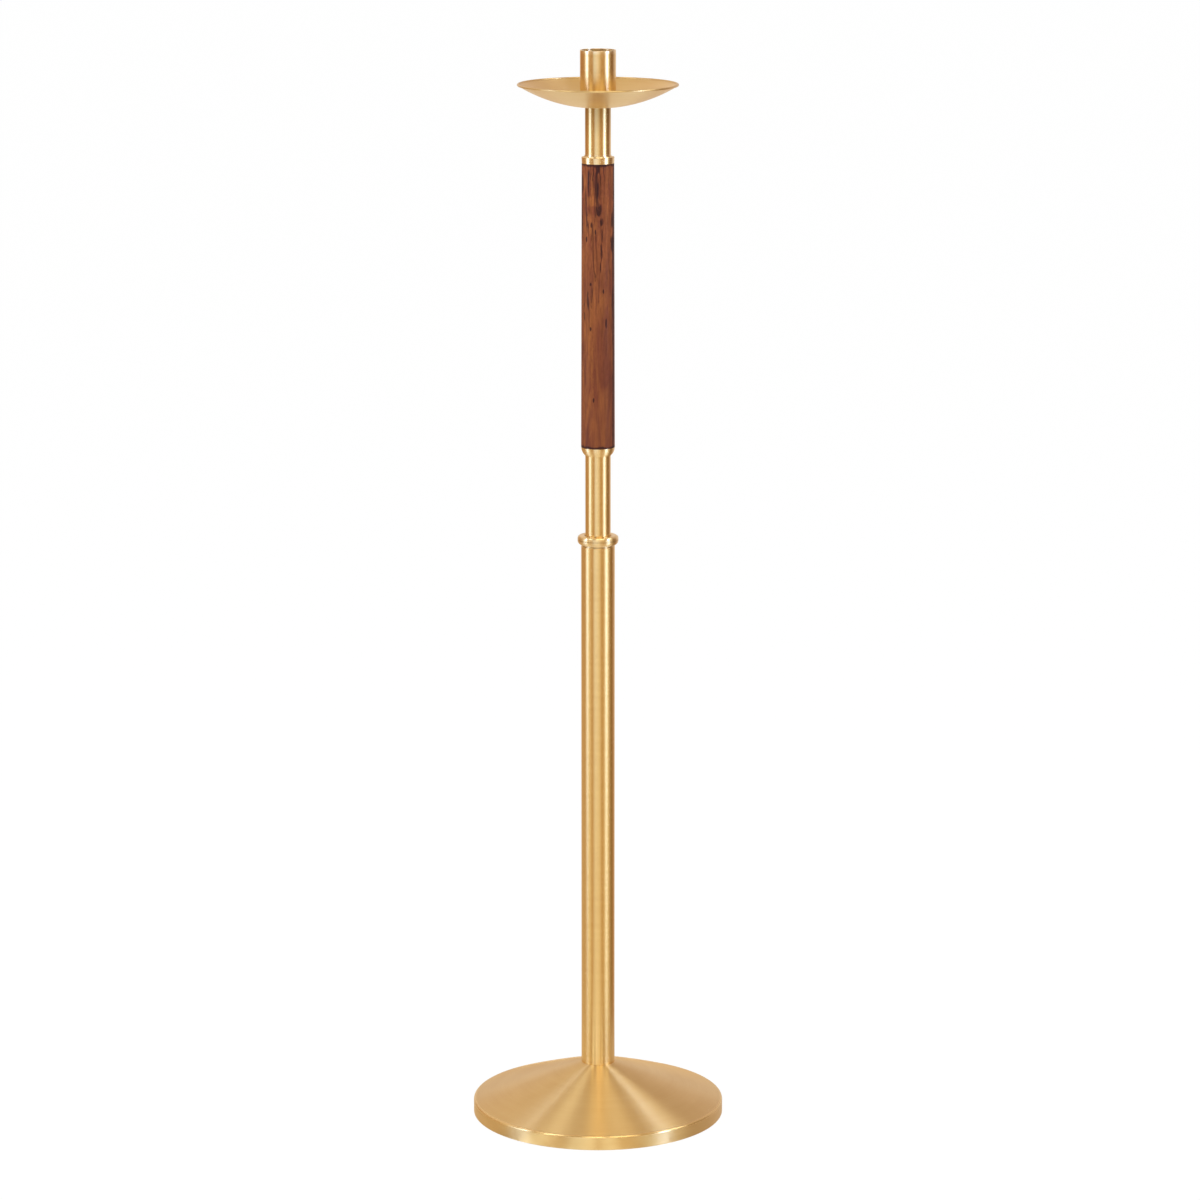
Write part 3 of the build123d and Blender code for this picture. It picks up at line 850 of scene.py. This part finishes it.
class TORCH_OT_stand_tube(bpy.types.Operator):
    """Draw the stand's tube, turn its mouth ring and nylon bush, and finish its foot plug"""

    bl_idname = "torch.stand_tube"
    bl_label = "Stand tube and mouth ring"

    def execute(self, context):
        sizes = context.scene.torch_stand
        gap = context.scene.torch_staff.spigot_gap
        radius, _, tube_top = span("stand_tube")
        bore = radius - sizes.tube_wall
        turned_ring("stand_tube", bore, sizes.tube_wall / 8, tube_brass())
        ring, foot, top = span("mouth_ring")
        bead = tube_top + sizes.groove_height
        bush = span("mouth_bush").radius + gap
        lip_bottom = top - sizes.ring_lip
        points = rounded(
            (sizes.lip_bore, top, sizes.ring_lip / 3),
            (ring, top, sizes.ring_top_edge),
            (ring, bead, sizes.ring_bottom_edge),
            (sizes.groove_radius, bead),
            (sizes.groove_radius, tube_top),
            (bore - gap, tube_top),
            (bore - gap, foot),
            (bush, foot),
            (bush, lip_bottom),
            (sizes.lip_bore, lip_bottom),
        )
        turned("mouth_ring", points, ring_brass())
        turned_ring("mouth_bush", sizes.guide_bore, sizes.cup_lead / 4, nylon_material())
        dress(tube_brass(), "foot_plug")
        return {"FINISHED"}


class TORCH_OT_seat(bpy.types.Operator):
    """Turn the nylon cup inside the tube and the felt pad that the staff stands on"""

    bl_idname = "torch.seat"
    bl_label = "Seat cup and pad"

    def execute(self, context):
        sizes = context.scene.torch_stand
        outer, low, high = span("seat_cup")
        points = rounded(
            (0, low),
            (outer, low, sizes.cup_lead / 2),
            (outer, high),
            (sizes.guide_bore + sizes.cup_lead, high),
            (sizes.guide_bore, high - sizes.cup_lead),
            (sizes.guide_bore, low + sizes.cup_floor),
            (0, low + sizes.cup_floor),
            closed=False,
        )
        turned("seat_cup", points, nylon_material())
        felt = felt_material("Grey felt", finishes().felt_grey[:])
        felt_round("seat_pad", felt, edge_share=1 / 4)
        return {"FINISHED"}


class TORCH_OT_staff(bpy.types.Operator):
    """Draw the staff's lower tube and turn the tip that closes it"""

    bl_idname = "torch.staff"
    bl_label = "Staff tube and tip"

    def execute(self, context):
        sizes = context.scene.torch_staff
        radius, tube_foot, _ = span("staff_tube")
        bore = radius - sizes.staff_wall
        turned_ring("staff_tube", bore, sizes.staff_wall / 8, tube_brass())
        flange, low, high = span("staff_tip")
        points = rounded(
            (0, low),
            (flange, low, sizes.tip_corner),
            (flange, tube_foot),
            (bore - sizes.spigot_gap, tube_foot),
            (bore - sizes.spigot_gap, high),
            (0, high),
            closed=False,
        )
        turned("staff_tip", points, tube_brass())
        return {"FINISHED"}


class TORCH_OT_lower_ferrule(bpy.types.Operator):
    """Turn the cup-shaped ferrule under the grip"""

    bl_idname = "torch.lower_ferrule"
    bl_label = "Lower ferrule"

    def execute(self, context):
        sizes = context.scene.torch_staff
        rim, low, high = span("lower_ferrule")
        tube, _, foot_level = span("staff_tube")
        seat = span("wood_grip").low
        spigot = tube - sizes.staff_wall - sizes.spigot_gap
        step, rise = rim - sizes.foot_radius, seat - foot_level
        cup_radius = (step**2 + rise**2) / (2 * step)
        sweep = asin(rise / cup_radius)
        cup = arc_about((rim - cup_radius, seat), cup_radius, -sweep, 0, steps=14)
        points = rounded(
            (sizes.rod_hole, low),
            (spigot, low),
            (spigot, foot_level),
            *cup[:-1],
            (*cup[-1], CRISP_EDGE),
            (sizes.boss_radius, seat),
            (sizes.boss_radius, high),
            (sizes.rod_hole, high),
        )
        turned("lower_ferrule", points, ferrule_brass())
        return {"FINISHED"}


class TORCH_OT_upper_ferrule(bpy.types.Operator):
    """Turn the ferrule over the grip, with its skirt, rim and flare"""

    bl_idname = "torch.upper_ferrule"
    bl_label = "Upper ferrule"

    def execute(self, context):
        sizes = context.scene.torch_staff
        rim, low, high = span("upper_ferrule")
        neck, neck_level, _ = span("neck_tube")
        seat = span("wood_grip").high
        spigot = neck - sizes.staff_wall - sizes.spigot_gap
        flare = arc_about((neck + sizes.flare, neck_level), sizes.flare, -pi / 2, -pi, steps=12)
        points = rounded(
            (sizes.rod_hole, low),
            (sizes.boss_radius, low),
            (sizes.boss_radius, seat),
            (grip_radius(seat), seat, CRISP_EDGE),
            (rim, seat + sizes.skirt_height, 2 * CRISP_EDGE),
            (rim, neck_level - sizes.flare, sizes.rim_edge),
            *flare,
            (spigot, neck_level),
            (spigot, high),
            (sizes.rod_hole, high),
        )
        turned("upper_ferrule", points, ferrule_brass())
        return {"FINISHED"}


class TORCH_OT_wood_grip(bpy.types.Operator):
    """Turn the wooden grip, a little slimmer at its top"""

    bl_idname = "torch.wood_grip"
    bl_label = "Wooden grip"

    def execute(self, context):
        sizes = context.scene.torch_staff
        _, low, high = span("wood_grip")
        boss = sizes.boss_radius + sizes.boss_gap
        depth = sizes.boss_height + sizes.boss_gap
        bore = sizes.rod_hole + sizes.boss_gap
        points = rounded(
            (grip_radius(low), low, sizes.grip_edge),
            (grip_radius(high), high, sizes.grip_edge),
            (boss, high),
            (boss, high - depth),
            (bore, high - depth),
            (bore, low + depth),
            (boss, low + depth),
            (boss, low),
        )
        turned("wood_grip", points, grip_wood())
        return {"FINISHED"}


class TORCH_OT_tie_hardware(bpy.types.Operator):
    """Finish the tie rod through the grip with its nuts and washers"""

    bl_idname = "torch.tie_hardware"
    bl_label = "Tie rod, nuts and washers"

    def execute(self, context):
        dress(steel_material(), "tie_rod", "tie_washers", "tie_nuts")
        return {"FINISHED"}


class TORCH_OT_neck(bpy.types.Operator):
    """Draw the neck tube and finish the plug in its top"""

    bl_idname = "torch.neck"
    bl_label = "Neck tube and plug"

    def execute(self, context):
        wall = context.scene.torch_staff.staff_wall
        turned_ring("neck_tube", span("neck_tube").radius - wall, wall / 8, neck_brass())
        dress(tube_brass(), "neck_plug")
        return {"FINISHED"}


class TORCH_OT_drip_pan(bpy.types.Operator):
    """Spin the drip pan, a shallow dish with a flat middle and a rolled lip"""

    bl_idname = "torch.drip_pan"
    bl_label = "Drip pan"

    def execute(self, context):
        sizes = context.scene.torch_top
        pan, underside, _ = span("drip_pan")
        outer, sheet = sizes.pan_sphere, sizes.pan_sheet
        inner, middle = outer - sheet, outer - sheet / 2
        bead = sizes.pan_lip / 2
        lip = pan - bead
        centre = underside + sqrt(outer**2 - sizes.pan_flat**2)
        lip_level = centre - sqrt(middle**2 - lip**2)
        tilt = atan2(lip, centre - lip_level)
        opening = asin(sheet / 2 / bead)
        floor_level = underside + sheet
        flat_tilt = asin(sizes.pan_flat / outer)
        floor_tilt = asin(sqrt(inner**2 - (centre - floor_level) ** 2) / inner)
        lip_tilt = tilt - bead / outer
        down = -pi / 2
        outside = arc_about((0, centre), outer, down + flat_tilt, down + lip_tilt, steps=30)
        roll = arc_about((lip, lip_level), bead, tilt - pi + opening, tilt + pi - opening, steps=18)
        inside = arc_about((0, centre), inner, down + lip_tilt, down + floor_tilt, steps=30)
        points = rounded(
            (sizes.stud_hole, floor_level),
            (sizes.stud_hole, underside),
            (*outside[0], sizes.pan_bend),
            *outside[1:-1],
            *roll,
            *inside[1:-1],
            (*inside[-1], sizes.pan_bend),
        )
        fine = {"Segments": 2 * context.scene.torch_stage.segments}
        turned("drip_pan", points, pan_brass(), inputs=fine)
        return {"FINISHED"}


class TORCH_OT_candle_socket(bpy.types.Operator):
    """Turn the candle's socket, its threaded stud and the leather washer"""

    bl_idname = "torch.candle_socket"
    bl_label = "Candle socket"

    def execute(self, context):
        sizes = context.scene.torch_top
        outer, low, high = span("candle_socket")
        floor_level = low + sizes.socket_floor
        hole = span("socket_stud").radius + context.scene.torch_staff.spigot_gap
        points = rounded(
            (hole, low),
            (outer, low, sizes.socket_edge),
            (outer, high, sizes.socket_edge),
            (sizes.socket_bore, high, sizes.socket_edge),
            (sizes.socket_bore, floor_level, sizes.socket_edge * 2),
            (hole, floor_level),
        )
        turned("candle_socket", points, socket_brass())
        _, foot, head = span("socket_washer")
        edge = (head - foot) / 4
        turned_ring("socket_washer", sizes.stud_hole, edge, leather_material())
        self.make_stud(sizes, low)
        return {"FINISHED"}

    def make_stud(self, sizes, shoulder):
        """Stud threaded up to the socket's foot, with a screwdriver slot in its top."""
        radius, low, high = span("socket_stud")
        pitch, depth = sizes.stud_pitch, sizes.thread_depth
        rows_per_turn = 12
        rows = ceil((shoulder - low) / (pitch / rows_per_turn))
        step = (shoulder - low - depth) / rows
        thread = [(radius, low + depth + step * i) for i in range(rows)]
        points = rounded(
            (0, low), (radius - depth, low), *thread, (radius, shoulder), (radius, high), (0, high),
            closed=False,
        )
        inputs = {"Segments": 64, "Thread Pitch": pitch, "Thread Depth": depth}
        threads = [(low, shoulder - MICRON, radius)]
        slot = self.slot_cutter(radius, high, sizes.slot_width, sizes.slot_depth)
        turned("socket_stud", points, tube_brass(), inputs=inputs, threads=threads, cutter=slot)

    def slot_cutter(self, radius, top, width, depth):
        """Box as deep under the stud's top as over it, and twice as long as the stud is wide."""
        mesh = bpy.data.meshes.new("slot_cutter")
        shape = bmesh.new()
        sides = Matrix.Diagonal((4 * radius, width, 2 * depth, 1))
        bmesh.ops.create_cube(shape, size=1, matrix=Matrix.Translation((0, 0, top)) @ sides)
        shape.to_mesh(mesh)
        shape.free()
        return shown("slot_cutter", mesh)


@cache
def card_light():
    """Material that only shines, in the card's own tint."""
    material = bpy.data.materials.new("Card light")
    wires = cleared(material)
    tint = wires.value("ShaderNodeAttribute", output="Color", attribute_name="tint")
    wires.add("ShaderNodeOutputMaterial", {"Surface": wires.value("ShaderNodeEmission", {"Color": tint})})
    material.cycles.emission_sampling = "NONE"
    return material


def tint_at(stops, bearing):
    """Tint at a bearing, between the two stops beside it."""
    (left, first), (right, last) = next(p for p in zip(stops, stops[1:]) if bearing <= p[1][0])
    return Vector(first).lerp(Vector(last), (bearing - left) / (right - left))


def mirrored_card(name, rows, step):
    """Card round the torch that shows in reflections alone, with a point every few degrees.

    A row is its radius, its level, the stops of tint under and over it, and its share of the way up.
    """
    bearings = range(-180, 181, step)
    wide = len(bearings)
    vertices, tints = [], []
    for radius, level, under, over, share in rows:
        for bearing in bearings:
            a = radians(bearing)
            vertices.append((radius * sin(a), -radius * cos(a), level))
            tints.append(tint_at(under, bearing).lerp(tint_at(over, bearing), share))
    firsts = [i for i in range(len(vertices) - wide) if (i + 1) % wide]
    mesh = bpy.data.meshes.new(name)
    mesh.from_pydata(vertices, [], [(i, i + 1, i + 1 + wide, i + wide) for i in firsts])
    tint = mesh.attributes.new("tint", "FLOAT_COLOR", "POINT")
    for point, colour in zip(tint.data, tints):
        point.color = (*colour, 1)
    mesh.materials.append(card_light())
    card = shown(name, mesh)
    for rays in ("camera", "diffuse", "transmission", "volume_scatter", "shadow"):
        setattr(card, "visible_" + rays, False)


def light_tent(radius, centre, bands):
    """Globe about the torch; bands are (elevation in degrees, stops), stops (bearing, tint)."""
    degrees_per_row = 4
    rows = []
    for (low, under), (high, over) in zip(bands, bands[1:]):
        steps = max(1, ceil((high - low) / degrees_per_row))
        rows += [(low + (high - low) * i / steps, under, over, i / steps) for i in range(steps)]
    highest, last = bands[-1]
    rows.append((highest, last, last, 0))
    placed = [
        (radius * cos(radians(elevation)), centre + radius * sin(radians(elevation)), *tints)
        for elevation, *tints in rows
    ]
    mirrored_card("light_tent", placed, step=2)


def floor_glow(inner, width, stops):
    """Ring of lit floor round the base, which the cover's rim mirrors."""
    rows = [(radius, MM / 2, stops, stops, 0) for radius in (inner, inner + width)]
    mirrored_card("floor_glow", rows, step=3)


def even(tint):
    """Stops of one tint all round."""
    return (-180, tint), (180, tint)


class TORCH_OT_stage(bpy.types.Operator):
    """Set the pale floor, the white studio, its lamps and cards, and the camera"""

    bl_idname = "torch.stage"
    bl_label = "Stage"

    def execute(self, context):
        settings = context.scene.torch_stage
        self.set_world(context.scene, settings)
        self.lay_floor()
        self.hang_cards()
        self.light_floor()
        self.hang_lamps()
        self.place_camera(context.scene, settings)
        context.scene.view_settings.view_transform = "Standard"
        return {"FINISHED"}

    def set_world(self, scene, settings):
        """White to the camera and in the brass, softer on matt surfaces."""
        world = bpy.data.worlds.new("Studio")
        wires = cleared(world)
        rays = wires.values("ShaderNodeLightPath")
        clear = rays["Is Camera Ray"].maths("MAXIMUM", rays["Is Transmission Ray"])
        mirrored = rays["Is Glossy Ray"] * settings.mirror_level
        strength = clear.maths("MAXIMUM", settings.sky_level).maths("MAXIMUM", mirrored)
        sky = wires.value("ShaderNodeBackground", {"Color": (1, 1, 1, 1), "Strength": strength})
        wires.add("ShaderNodeOutputWorld", {"Surface": sky})
        scene.world = world

    def lay_floor(self):
        """Pale matt floor that the camera sees almost white, with the torch's soft shadow."""
        half = 40.0
        glow_share = 0.88
        corners = [(-half, -half, 0), (half, -half, 0), (half, half, 0), (-half, half, 0)]
        mesh = bpy.data.meshes.new("floor")
        mesh.from_pydata(corners, [], [(0, 1, 2, 3)])
        material = bpy.data.materials.new("Pale floor")
        wires = cleared(material)
        matt = wires.value("ShaderNodeBsdfDiffuse", {"Color": (0.86, 0.86, 0.86, 1)})
        glow = wires.value("ShaderNodeEmission", {"Strength": 1.08})
        seen = wires.values("ShaderNodeLightPath")["Is Camera Ray"] * glow_share
        both = wires.value("ShaderNodeMixShader", {0: seen, 1: matt, 2: glow})
        wires.add("ShaderNodeOutputMaterial", {"Surface": both})
        material.cycles.emission_sampling = "NONE"
        mesh.materials.append(material)
        floor = shown("floor", mesh)
        floor.visible_glossy = False

    def hang_cards(self):
        """Light tent of strips and warm dark flags that give the brass its streaks."""
        back = (0.84, 0.74, 0.66)
        flag = (0.46, 0.23, 0.09)
        deep = (0.20, 0.10, 0.055)
        gap = (0.48, 0.27, 0.12)
        dim = (0.70, 0.58, 0.56)
        half = (0.95, 0.86, 0.74)
        centre = (1.12, 1.24, 1.5)
        strip = (2.1, 2.6, 3.8)
        upright = (
            (-180, back), (-158, back), (-142, flag), (-100, flag), (-89, half), (-82, strip),
            (-73, strip), (-65, half), (-54, gap), (-35, gap), (-25, centre), (-9, centre),
            (8, half), (20, gap), (39, gap), (47, half), (54, strip), (64, strip), (74, half),
            (88, deep), (108, deep), (130, dim), (152, back), (180, back),
        )
        low_flag = (0.66, 0.49, 0.30)
        low_deep = (0.36, 0.24, 0.12)
        low_gap = (0.70, 0.50, 0.27)
        low_half = (0.90, 0.76, 0.52)
        low_strip = (0.97, 0.85, 0.60)
        low = (
            (-180, back), (-158, back), (-142, low_flag), (-82, low_flag), (-66, low_strip),
            (-56, low_strip), (-44, low_gap), (-32, low_gap), (-18, low_half), (14, low_half),
            (24, low_gap), (38, low_gap), (54, low_strip), (66, low_strip), (86, low_flag),
            (102, low_deep), (114, low_deep), (134, flag), (152, back), (180, back),
        )
        left = (0.86, 0.72, 0.60)
        right = (0.72, 0.58, 0.50)
        shade = (0.54, 0.41, 0.28)
        fan = (3.1, 3.3, 3.4)
        right_fan = (3.6, 3.7, 3.6)
        middle = (2.6, 2.4, 1.9)
        raised = (
            (-180, left), (-95, left), (-72, shade), (-63, shade), (-55, fan), (-44, fan),
            (-37, shade), (-18, shade), (-8, middle), (5, middle), (10, shade), (15, middle),
            (34, middle), (46, shade), (76, shade), (82, right_fan), (89, right_fan), (98, shade),
            (130, right), (179, right), (180, left),
        )
        spark = (6.5, 8.0, 12.0)
        right_spark = (7.5, 9.8, 17.0)
        sparks = (
            (-180, left), (-95, left), (-77, shade), (-73, spark), (-69, spark), (-65, shade),
            (57, shade), (61, right_spark), (66, right_spark), (70, shade), (98, shade), (130, right),
            (179, right), (180, left),
        )
        below = even((0.90, 0.89, 0.94))
        above = even((0.74, 0.59, 0.42))
        bands = (
            (-89, below), (-52, below), (-33, low), (-16, low), (-5, upright), (6, upright),
            (10, sparks), (18, sparks), (26, raised), (54, raised), (62, above), (89, above),
        )
        light_tent(radius=6.0, centre=0.5, bands=bands)

    def light_floor(self):
        """Bright and dull stretches of floor that the base's rim mirrors."""
        warm = (0.78, 0.61, 0.39)
        cool = (0.68, 0.54, 0.41)
        bright = (1.3, 1.28, 1.15)
        soft = (1.2, 1.14, 0.98)
        lit = (1.05, 1.0, 0.86)
        dull = (0.52, 0.40, 0.25)
        around = (
            (-180, warm), (-58, warm), (-50, dull), (-41, dull), (-36, bright), (-30, bright),
            (-24, warm), (-17, warm), (-13, soft), (-5, soft), (0, warm), (5, soft), (8, soft),
            (11, warm), (19, warm), (24, lit), (29, lit), (34, dull), (44, dull), (52, cool),
            (180, cool),
        )
        floor_glow(inner=span("base_cover").radius + MM, width=0.16, stops=around)

    def hang_lamps(self):
        """Two tall soft lamps that light the wood and the felt."""
        distance, height = 2.4, 1.3
        target = Vector((0, 0, 0.6))
        for name, bearing, power in (("left_lamp", -60, 19.0), ("right_lamp", 48, 15.0)):
            data = bpy.data.lights.new(name, "AREA")
            data.shape = "RECTANGLE"
            data.size = 0.8
            data.size_y = 2.2
            data.energy = power
            lamp = shown(name, data)
            a = radians(bearing)
            lamp.location = (distance * sin(a), -distance * cos(a), height)
            lamp.rotation_euler = (target - lamp.location).to_track_quat("-Z", "Y").to_euler()
            lamp.visible_glossy = False
            lamp.visible_camera = False

    def place_camera(self, scene, settings):
        """Camera at the photograph's height, distance and angle."""
        data = bpy.data.cameras.new("camera")
        data.lens = settings.lens
        data.sensor_width = 36.0
        camera = shown("camera", data)
        camera.location = settings.camera_place
        camera.rotation_euler = (pi / 2 - settings.camera_pitch, 0, 0)
        scene.camera = camera


OPERATORS = (
    TORCH_OT_base_cover,
    TORCH_OT_base_inside,
    TORCH_OT_base_felt,
    TORCH_OT_stand_tube,
    TORCH_OT_seat,
    TORCH_OT_staff,
    TORCH_OT_lower_ferrule,
    TORCH_OT_upper_ferrule,
    TORCH_OT_wood_grip,
    TORCH_OT_tie_hardware,
    TORCH_OT_neck,
    TORCH_OT_drip_pan,
    TORCH_OT_candle_socket,
    TORCH_OT_stage,
)
SETTING_GROUPS = {
    "torch_stand": TorchStandSizes,
    "torch_staff": TorchStaffSizes,
    "torch_top": TorchTopSizes,
    "torch_finishes": TorchFinishes,
    "torch_stage": TorchStage,
}


class TORCH_PT_pieces(bpy.types.Panel):
    """Lists the torch's pieces with their sizes and finishes"""

    bl_idname = "TORCH_PT_pieces"
    bl_label = "Processional torch"
    bl_space_type = "VIEW_3D"
    bl_region_type = "UI"
    bl_category = "Torch"

    def draw(self, context):
        for operator in OPERATORS:
            self.layout.operator(operator.bl_idname)
        for name in SETTING_GROUPS:
            group = getattr(context.scene, name)
            for setting in group.__annotations__:
                self.layout.prop(group, setting)


def register():
    for group in SETTING_GROUPS.values():
        bpy.utils.register_class(group)
    for name, group in SETTING_GROUPS.items():
        setattr(bpy.types.Scene, name, PointerProperty(type=group))
    for part in (*OPERATORS, TORCH_PT_pieces):
        bpy.utils.register_class(part)


def unregister():
    for part in (TORCH_PT_pieces, *reversed(OPERATORS)):
        bpy.utils.unregister_class(part)
    for name, group in SETTING_GROUPS.items():
        delattr(bpy.types.Scene, name)
        bpy.utils.unregister_class(group)


def main():
    """Makes the torch and its stage."""
    register()
    for operator in OPERATORS:
        family, name = operator.bl_idname.split(".")
        getattr(getattr(bpy.ops, family), name)()


if __name__ == "__main__":
    main()
